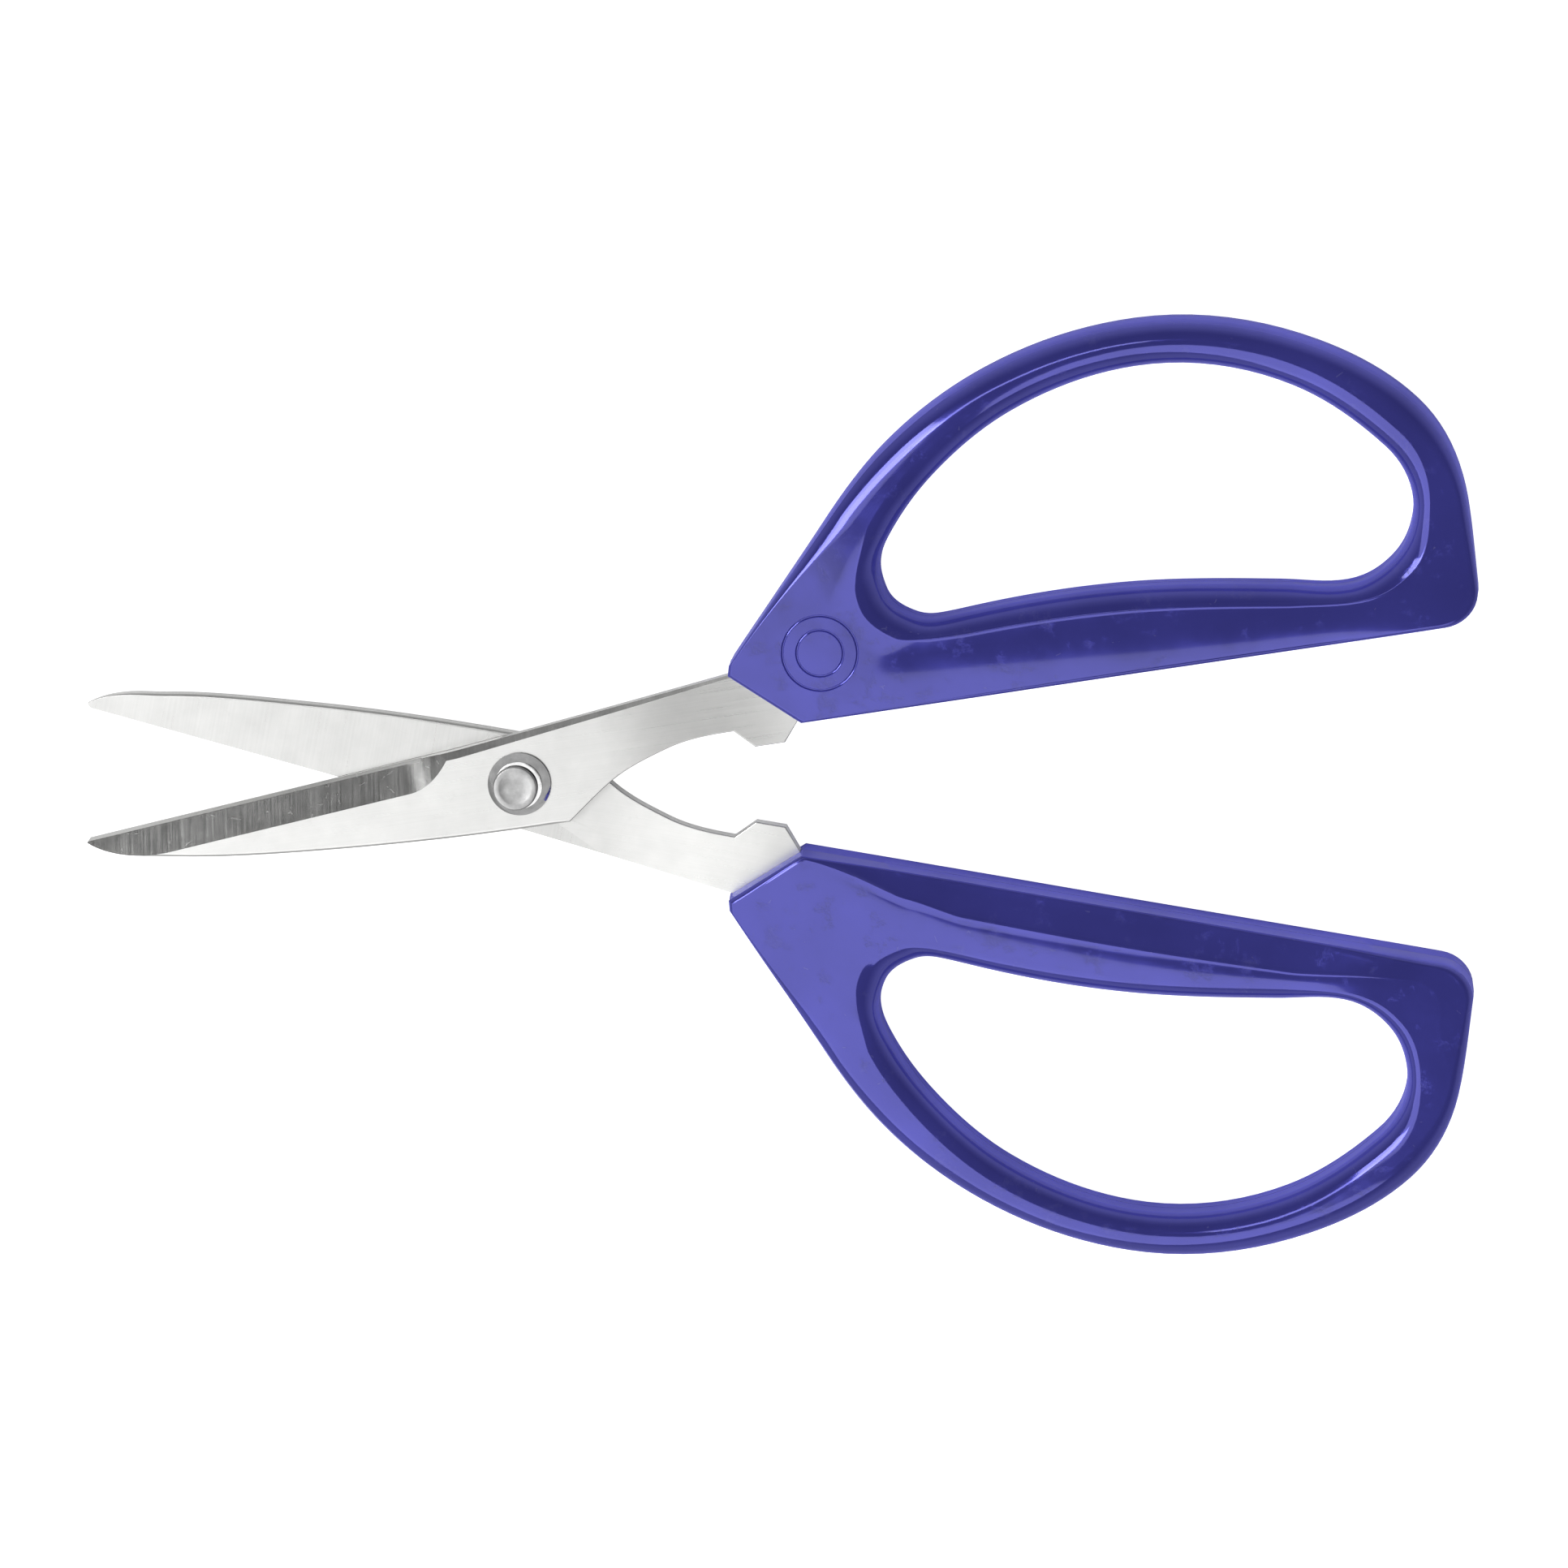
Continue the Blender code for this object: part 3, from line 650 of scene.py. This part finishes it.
def face_height(s, width, face):
    """Height of a face above the parting plane at a distance from the finger hole."""
    fillet, depth, crease, crown, slope, drop, edge, edge_depth, bead = face
    level = HALF_HANDLE - crown
    if s < fillet:
        stop = math.pi / 2 - crease
        turn = math.acos(1 - s / fillet * (1 - math.cos(stop)))
        height = level - depth * (1 - math.sin(turn) / math.sin(stop))
    elif s < width - slope:
        u = (s - fillet) / (width - slope - fillet)
        height = level + crown * (1 - (2 * u - 1) ** 2)
    elif s < width - edge:
        height = level - drop * (s - width + slope) / (slope - edge)
    else:
        over = min(1, (s - width + edge) / edge)
        height = level - drop - edge_depth * (1 - math.sqrt(1 - over * over))
    for place, rise in ((fillet, bead), (width - slope, drop * RIDGE_RISE)):
        near = abs(s - place) / BEAD_REACH
        if near < 1:
            height += rise * (1 - near * near) ** 2
    return height


def face_line(width, drawn):
    """One face's points as (distance from the hole, height), from the hole outwards."""
    face = [size * MM for size in drawn]
    face[2] = math.radians(drawn[2])
    room = width / (face[0] + max(face[4], face[6]))
    if room < 1:
        for k in (0, 4, 6):
            face[k] *= room
    fillet, slope, edge = face[0], face[4], face[6]
    inner = fillet - min(BEAD_REACH, 0.3 * fillet)
    outer = min(fillet + BEAD_REACH, fillet + 0.3 * max(0, width - slope - fillet))
    places = [
        inner * (1 - math.cos(math.pi / 2 * k / FILLET_STEPS)) for k in range(FILLET_STEPS)
    ]
    places += [inner + (outer - inner) * k / BEAD_STEPS for k in range(BEAD_STEPS)]
    ridge = width - slope
    before = max(ridge - BEAD_REACH, ridge - 0.3 * max(0, ridge - outer))
    after = min(ridge + BEAD_REACH, ridge + 0.3 * (slope - edge))
    places += [outer + (before - outer) * k / FLAT_STEPS for k in range(FLAT_STEPS)]
    places += [before + (after - before) * k / BEAD_STEPS for k in range(BEAD_STEPS)]
    places += [after + (width - edge - after) * k / SLOPE_STEPS for k in range(SLOPE_STEPS)]
    places += [
        width - edge * math.cos(math.pi / 2 * k / EDGE_STEPS) for k in range(EDGE_STEPS + 1)
    ]
    line = [[s, face_height(s, width, face)] for s in places]
    line[0][0] = line[0][1] * DRAFT
    line[-1][0] = width - line[-1][1] * DRAFT
    return line


def rib_section(width, front, back):
    """The closed section of the loop, with a fine groove at the parting line on both walls."""
    over = face_line(width, front)
    under = face_line(width, back)
    half = GROOVE_HALF_WIDTH
    inside = [(0, -half), (PARTING_GROOVE, 0), (0, half)]
    outside = [(width, half), (width - PARTING_GROOVE, 0), (width, -half)]
    return [*inside, *over, *outside, *((s, -z) for s, z in reversed(under))]


def blended(a, b, t):
    """The sizes of one face eased into those of the next."""
    smooth = t * t * (3 - 2 * t)
    return [x + (y - x) * smooth for x, y in zip(a, b)]


def handle_mesh():
    """The moulding's skin, drawn through the sections that stand between the ribs."""
    sections = []
    for rib, following in zip(RIBS, RIBS[1:] + RIBS[:1]):
        outer, hole, front, back = rib
        next_outer, next_hole, next_front, next_back = following
        outside = stretch(outer[:2], outer[3], next_outer[:2], next_outer[2], RIB_STEPS)
        inside = stretch(hole[:2], hole[2], next_hole[:2], next_hole[2], RIB_STEPS)
        for k in range(RIB_STEPS):
            t = k / RIB_STEPS
            start = Vector(inside[k]) * MM
            end = Vector(outside[k]) * MM
            width = (end - start).length
            section = rib_section(width, blended(front, next_front, t), blended(back, next_back, t))
            way = (end - start) / width
            sections.append([(*(start + way * s), z) for s, z in section])
    shape = bmesh.new()
    rings = [[shape.verts.new(point) for point in section] for section in sections]
    for ring, following in zip(rings, rings[1:] + rings[:1]):
        for m in range(len(ring)):
            n = (m + 1) % len(ring)
            shape.faces.new((ring[m], following[m], following[n], ring[n]))
    bmesh.ops.recalc_face_normals(shape, faces=shape.faces)
    mesh = bpy.data.meshes.new("handle")
    shape.to_mesh(mesh)
    shape.free()
    return mesh


def tang_pocket():
    """The space round the tang, which follows the shank's bend."""
    points = outline(tang_nodes())
    side = moved_out(points, [TANG_FIT] * len(points))
    pocket = prism("tang_pocket", side, PLATE + 2 * TANG_FIT)
    pocket.data.transform(Matrix.Translation((0, 0, PLATE_LOW + PLATE / 2)))
    bend_plate(pocket.data)
    return pocket


def turned(name, profile, steps=128):
    """A solid turned about Z from (radius, z) points that run down its outer side."""
    mesh = bpy.data.meshes.new(name)
    edges = [(k, k + 1) for k in range(len(profile) - 1)]
    if profile[0][0] > 0:
        edges.append((len(profile) - 1, 0))
    mesh.from_pydata([(r, 0, z) for r, z in profile], edges, [])
    obj = new_object(name, mesh)
    screw = obj.modifiers.new("Turn", "SCREW")
    screw.steps = steps
    screw.render_steps = steps
    screw.use_merge_vertices = True
    screw.merge_threshold = AXIS_MERGE
    cut_and_keep(obj, [])
    return obj


def ring_groove(radius):
    """A turned tool that leaves a plain round groove in the neck's front face."""
    turns = [math.pi - math.tau * k / RING_STEPS for k in range(RING_STEPS)]
    profile = [(radius + RING_GROOVE * math.cos(t), RING_GROOVE * math.sin(t)) for t in turns]
    tool = turned("ring_groove", profile)
    tool.location = (*RING_CENTRE, HALF_HANDLE)
    return tool


def blend_colours(tree, share, first, second, way="MIX"):
    """Two colours mixed, or multiplied, by a share."""
    node = tree.nodes.new("ShaderNodeMix")
    node.data_type = "RGBA"
    node.blend_type = way
    for index, value in ((0, share), (6, first), (7, second)):
        if isinstance(value, bpy.types.NodeSocket):
            tree.links.new(value, node.inputs[index])
        else:
            node.inputs[index].default_value = value
    return node.outputs[2]


def nylon():
    """Glossy blue-violet nylon with a faint moulded waviness, hairline scratches and scuffs; its walls
    carry a painted reflection of the white table.
    """
    material = bpy.data.materials.new("Blue-violet nylon")
    material.use_nodes = True
    tree = material.node_tree
    shader = tree.nodes["Principled BSDF"]
    place = own_place(tree)
    marks = add_node(tree, "ShaderNodeGroup", node_tree=scratch_group)
    marks.inputs["Cells"].default_value = 260.0
    marks.inputs["Kept"].default_value = 0.68
    cloud = add_node(
        tree,
        "ShaderNodeTexNoise",
        {"Vector": place, "Scale": CLOUD_SCALE, "Detail": 3.0, "Roughness": 0.5},
    )
    wave = add_node(
        tree,
        "ShaderNodeTexNoise",
        {"Vector": place, "Scale": WAVE_SCALE, "Detail": 1.5, "Roughness": 0.5},
    )
    grain = add_node(
        tree,
        "ShaderNodeTexNoise",
        {"Vector": place, "Scale": GRAIN_SCALE, "Detail": 8.0, "Roughness": 0.75},
    )
    rubbed = mapped(tree, grain.outputs["Fac"], 0.0, 0.5, 0.57, 0.7)
    worn = add_node(
        tree, "ShaderNodeMath", {0: marks.outputs["Scratches"], 1: rubbed}, operation="MAXIMUM"
    ).outputs[0]
    upright = add_node(
        tree,
        "ShaderNodeSeparateXYZ",
        {"Vector": add_node(tree, "ShaderNodeNewGeometry").outputs["Normal"]},
    )
    level = add_node(tree, "ShaderNodeMath", {0: upright.outputs["Z"]}, operation="ABSOLUTE")
    edgewise = mapped(tree, level.outputs[0], 1.0, 0.0, 0.1, 0.8)
    # Where the surface stands upright the colour turns lighter and bluer: a painted reflection of the
    # white table on the walls.
    body = blend_colours(tree, edgewise, (*HANDLE_BLUE, 1), (*WALL_TABLE_REFLECTION_BLUE, 1))
    tone = mapped(tree, cloud.outputs["Fac"], 0.9, 1.1)
    grey = add_node(tree, "ShaderNodeCombineColor", {"Red": tone, "Green": tone, "Blue": tone})
    clouded = blend_colours(tree, 1.0, body, grey.outputs[0], "MULTIPLY")
    paleness = mapped(tree, worn, 0.0, 0.25, 0.0, 1.0)
    paled = blend_colours(tree, paleness, clouded, (*WORN_BLUE, 1))
    tree.links.new(paled, shader.inputs["Base Color"])
    tree.links.new(mapped(tree, edgewise, 0.1, 0.5, 0.0, 1.0), shader.inputs["Roughness"])
    gloss = add_node(
        tree,
        "ShaderNodeMath",
        {0: mapped(tree, edgewise, 1.0, 0.3, 0.0, 1.0), 1: mapped(tree, worn, 1.0, 0.5, 0.0, 1.0)},
        operation="MULTIPLY",
    )
    tree.links.new(gloss.outputs[0], shader.inputs["Coat Weight"])
    bump = add_node(
        tree,
        "ShaderNodeBump",
        {"Height": wave.outputs["Fac"], "Distance": WAVE_DEPTH, "Strength": 1.0},
    )
    fine = add_node(
        tree,
        "ShaderNodeBump",
        {"Height": worn, "Distance": WEAR_DEPTH, "Strength": 1.0, "Normal": bump.outputs[0]},
        invert=True,
    )
    tree.links.new(fine.outputs[0], shader.inputs["Normal"])
    shader.inputs["Metallic"].default_value = NYLON_GLINT
    shader.inputs["Specular IOR Level"].default_value = 0.0
    shader.inputs["Specular Tint"].default_value = (*GLINT_BLUE, 1)
    shader.inputs["Coat Roughness"].default_value = 0.045
    shader.inputs["Coat IOR"].default_value = 1.35
    return material


handle_finish = nylon()
handle = new_object("handle", handle_mesh())
cut_and_keep(handle, [tang_pocket(), *(ring_groove(r) for r in RING_RADII)])
handle.data.materials.clear()
handle.data.materials.append(handle_finish)
for side, place in arm_places.items():
    moulding = new_object(f"{side}_handle_moulding", handle.data.copy())
    finish_mesh(moulding.data, place, MOULD_SHARP_ANGLE)
    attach(moulding, f"{side}_arm")
    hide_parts(f"{side}_handle")
bpy.data.objects.remove(handle)

# --- Rivet and washer: the pivot ----------------------------------------------------------------
# A steel rivet whose head is at the back.  Its front end is spread over a polished conical
# washer, and the punch leaves that end satin, slightly dished and a little off centre.
WASHER_R = 3.55 * MM
WASHER_TOP_R = 2.72 * MM
WASHER_HEIGHT = 1.0 * MM
WASHER_RIM = 0.2 * MM
RIVET_R = 2.0 * MM
BUTTON_R = 2.5 * MM
BUTTON_HEIGHT = 0.55 * MM
BUTTON_SHIFT = Vector((-0.35 * MM, -0.25 * MM))
HEAD_R = 3.55 * MM
HEAD_HEIGHT = 1.1 * MM
SEAT_GAP = 0.1 * MM
BORE_GAP = 0.1 * MM
PIVOT_SHARP_ANGLE = 28
WASHER_LOW = PLATE_TOP + SEAT_GAP
BUTTON_LOW = WASHER_LOW + WASHER_HEIGHT + SEAT_GAP


def arc_points(centre, radii, start, end, steps):
    """Points on an ellipse between two angles in degrees."""
    turns = [math.radians(start + (end - start) * k / steps) for k in range(steps + 1)]
    return [(centre[0] + radii[0] * math.cos(t), centre[1] + radii[1] * math.sin(t)) for t in turns]


def satin(name, grey, roughness, grain):
    """Steel with a fine even grain, as a punch or a tumbler leaves it."""
    material = bpy.data.materials.new(name)
    material.use_nodes = True
    tree = material.node_tree
    shader = tree.nodes["Principled BSDF"]
    place = own_place(tree)
    speckle = add_node(
        tree, "ShaderNodeTexNoise", {"Vector": place, "Scale": 3500.0, "Detail": 4.0, "Roughness": 0.7}
    )
    cloud = add_node(
        tree, "ShaderNodeTexNoise", {"Vector": place, "Scale": 700.0, "Detail": 3.0, "Roughness": 0.6}
    )
    tone = mapped(tree, cloud.outputs["Fac"], grey - 0.06, grey + 0.06)
    colour = add_node(tree, "ShaderNodeCombineColor", {"Red": tone, "Green": tone, "Blue": tone})
    tree.links.new(colour.outputs[0], shader.inputs["Base Color"])
    tree.links.new(
        mapped(tree, speckle.outputs["Fac"], roughness - 0.05, roughness + 0.05),
        shader.inputs["Roughness"],
    )
    bump = add_node(
        tree, "ShaderNodeBump", {"Height": speckle.outputs["Fac"], "Distance": grain, "Strength": 1.0}
    )
    tree.links.new(bump.outputs[0], shader.inputs["Normal"])
    shader.inputs["Metallic"].default_value = 1.0
    return material


def make_washer():
    """A cone with a small rounded rim, open round the rivet."""
    bore = RIVET_R + BORE_GAP
    top = WASHER_LOW + WASHER_HEIGHT
    lip = 0.07 * MM
    profile = [
        (bore, top),
        (WASHER_TOP_R - lip, top),
        *arc_points((WASHER_TOP_R - lip, top - lip), (lip, lip), 80, 45, 3),
        *arc_points((WASHER_R - lip, WASHER_LOW + WASHER_RIM), (lip, lip), 45, 0, 4),
        (WASHER_R, WASHER_LOW + lip),
        (WASHER_R - lip, WASHER_LOW),
        (bore, WASHER_LOW),
    ]
    return turned("pivot_washer_polished", profile)


def make_rivet():
    """The domed head below, the shaft, and the dished end, which is then moved off centre."""
    top = BUTTON_LOW + BUTTON_HEIGHT
    edge = 0.2 * MM
    head_top = -PLATE_TOP - SEAT_GAP
    head_low = head_top - HEAD_HEIGHT
    dish = 0.04 * MM
    profile = [
        (0, top - dish),
        (0.9 * MM, top - dish),
        (1.7 * MM, top - 0.6 * dish),
        (1.78 * MM, top - 0.2 * dish),
        (1.95 * MM, top),
        *arc_points((BUTTON_R - edge, top - edge), (edge, edge), 90, 0, 6),
        (BUTTON_R, BUTTON_LOW + 0.05 * MM),
        (BUTTON_R - 0.05 * MM, BUTTON_LOW),
        (RIVET_R, BUTTON_LOW),
        (RIVET_R, head_top),
        (HEAD_R, head_top),
        *arc_points((HEAD_R - 0.7 * MM, head_top - 0.3 * MM), (0.7 * MM, 0.8 * MM), 0, -90, 10),
        (0, head_low),
    ]
    rivet = turned("pivot_rivet_spread", profile)
    for vert in rivet.data.vertices:
        under_rim = vert.co.z > BUTTON_LOW - 1e-6 and vert.co.xy.length > RIVET_R + 1e-6
        if under_rim or vert.co.z > BUTTON_LOW + 1e-6:
            vert.co.xy += BUTTON_SHIFT
    return rivet


pivot_pieces = [
    (make_washer(), "pivot_washer", "washer_steel", satin("Polished steel", 0.42, 0.08, 2e-7)),
    (make_rivet(), "pivot_rivet", "rivet_steel", satin("Punched steel", 0.3, 0.36, 4e-6)),
]
for piece, node, slot_name, finish in pivot_pieces:
    piece.data.materials.append(finish)
    finish_mesh(piece.data, on_pivot, PIVOT_SHARP_ANGLE)
    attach(piece, "rear_arm")
    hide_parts(node)

# --- Table, studio lights and camera ------------------------------------------------------------
# A table that the camera sees as plain white and that lights the object only faintly.  A broad
# softbox, a small bright one and a thin one all stand on the blades' side, between pale walls and
# a dark ceiling.  The camera looks almost straight down from about a metre, through a long lens.
FLOOR_SIDE = 6.0
TABLE_DROP = 0.0002
TABLE_GREY = (0.6, 0.6, 0.6)
GLOW_ON_OBJECT = 0.15
GLOW_TO_CAMERA = 1.0
VIEW_PITCH = math.radians(10.445)
VIEW_YAW = math.radians(4.0)
VIEW_ROLL = math.radians(-0.1)
VIEW_DISTANCE = 1.0616
VIEW_TARGET = Vector((0.00066, -0.00009, 0.0042))
LENS = 217.43
table_shape = bmesh.new()
bmesh.ops.create_grid(table_shape, x_segments=4, y_segments=4, size=FLOOR_SIDE / 2)
table_mesh = bpy.data.meshes.new("table")
table_shape.to_mesh(table_mesh)
table_shape.free()
table = new_object("table", table_mesh)
table_white = bpy.data.materials.new("White table")
table_white.use_nodes = True
table_shader = table_white.node_tree.nodes["Principled BSDF"]
table_shader.inputs["Base Color"].default_value = (*TABLE_GREY, 1)
table_shader.inputs["Roughness"].default_value = 0.9
table_shader.inputs["Specular IOR Level"].default_value = 0.0
table_shader.inputs["Emission Color"].default_value = (1, 1, 1, 1)
seen = add_node(table_white.node_tree, "ShaderNodeLightPath").outputs["Is Camera Ray"]
table_glow = mapped(table_white.node_tree, seen, GLOW_ON_OBJECT, GLOW_TO_CAMERA, 0.0, 1.0)
table_white.node_tree.links.new(table_glow, table_shader.inputs["Emission Strength"])
table_mesh.materials.append(table_white)
table.location.z = -TABLE_DROP


def softbox(name, aside, ahead, distance, width, depth, heading, power):
    """A rectangular light this many degrees from overhead; its width runs along the heading."""
    light = bpy.data.lights.new(name, "AREA")
    light.shape = "RECTANGLE"
    light.size = width
    light.size_y = depth
    light.energy = power
    lamp = bpy.data.objects.new(name, light)
    bpy.context.scene.collection.objects.link(lamp)
    towards = Vector((math.tan(math.radians(aside)), math.tan(math.radians(ahead)), 1)).normalized()
    along = Vector((math.cos(math.radians(heading)), math.sin(math.radians(heading)), 0))
    deep = towards.cross(along).normalized()
    facing = Matrix((deep.cross(towards), deep, towards)).transposed().to_4x4()
    lamp.matrix_world = Matrix.Translation(towards * distance) @ facing


softbox("broad_softbox", -22.5, -25.5, 1.6, 1.42, 2.0, 37.7, 20.5)
softbox("bright_softbox", -25, 10, 1.6, 0.62, 0.38, 135, 6.2)
softbox("thin_softbox", -9, 9, 1.6, 0.4, 0.16, 0, 0.9)

studio = bpy.data.worlds.new("Studio")
studio.use_nodes = True
studio_tree = studio.node_tree
background = studio_tree.nodes["Background"]
direction = add_node(studio_tree, "ShaderNodeTexCoord").outputs["Generated"]
height = add_node(studio_tree, "ShaderNodeSeparateXYZ", {"Vector": direction}).outputs["Z"]
glow = mapped(studio_tree, height, 0.8, 0.13, 0.35, 0.75)
walls = add_node(studio_tree, "ShaderNodeCombineColor", {"Red": glow, "Green": glow, "Blue": glow})
studio_tree.links.new(walls.outputs[0], background.inputs["Color"])
bpy.context.scene.world = studio
bpy.context.scene.view_settings.view_transform = "Standard"

look = Vector(
    (
        math.sin(VIEW_YAW) * math.cos(VIEW_PITCH),
        math.sin(VIEW_PITCH),
        math.cos(VIEW_YAW) * math.cos(VIEW_PITCH),
    )
)
right = Vector((0, 1, 0)).cross(look).normalized()
up = look.cross(right)
facing = Matrix((right, up, look)).transposed().to_4x4() @ Matrix.Rotation(VIEW_ROLL, 4, "Z")
camera_data = bpy.data.cameras.new("camera")
camera_data.lens = LENS
camera_data.sensor_width = 36.0
camera_data.clip_start = 0.01
camera = bpy.data.objects.new("camera", camera_data)
bpy.context.scene.collection.objects.link(camera)
camera.matrix_world = Matrix.Translation(VIEW_TARGET + look * VIEW_DISTANCE) @ facing
bpy.context.scene.camera = camera

bpy.context.view_layer.update()
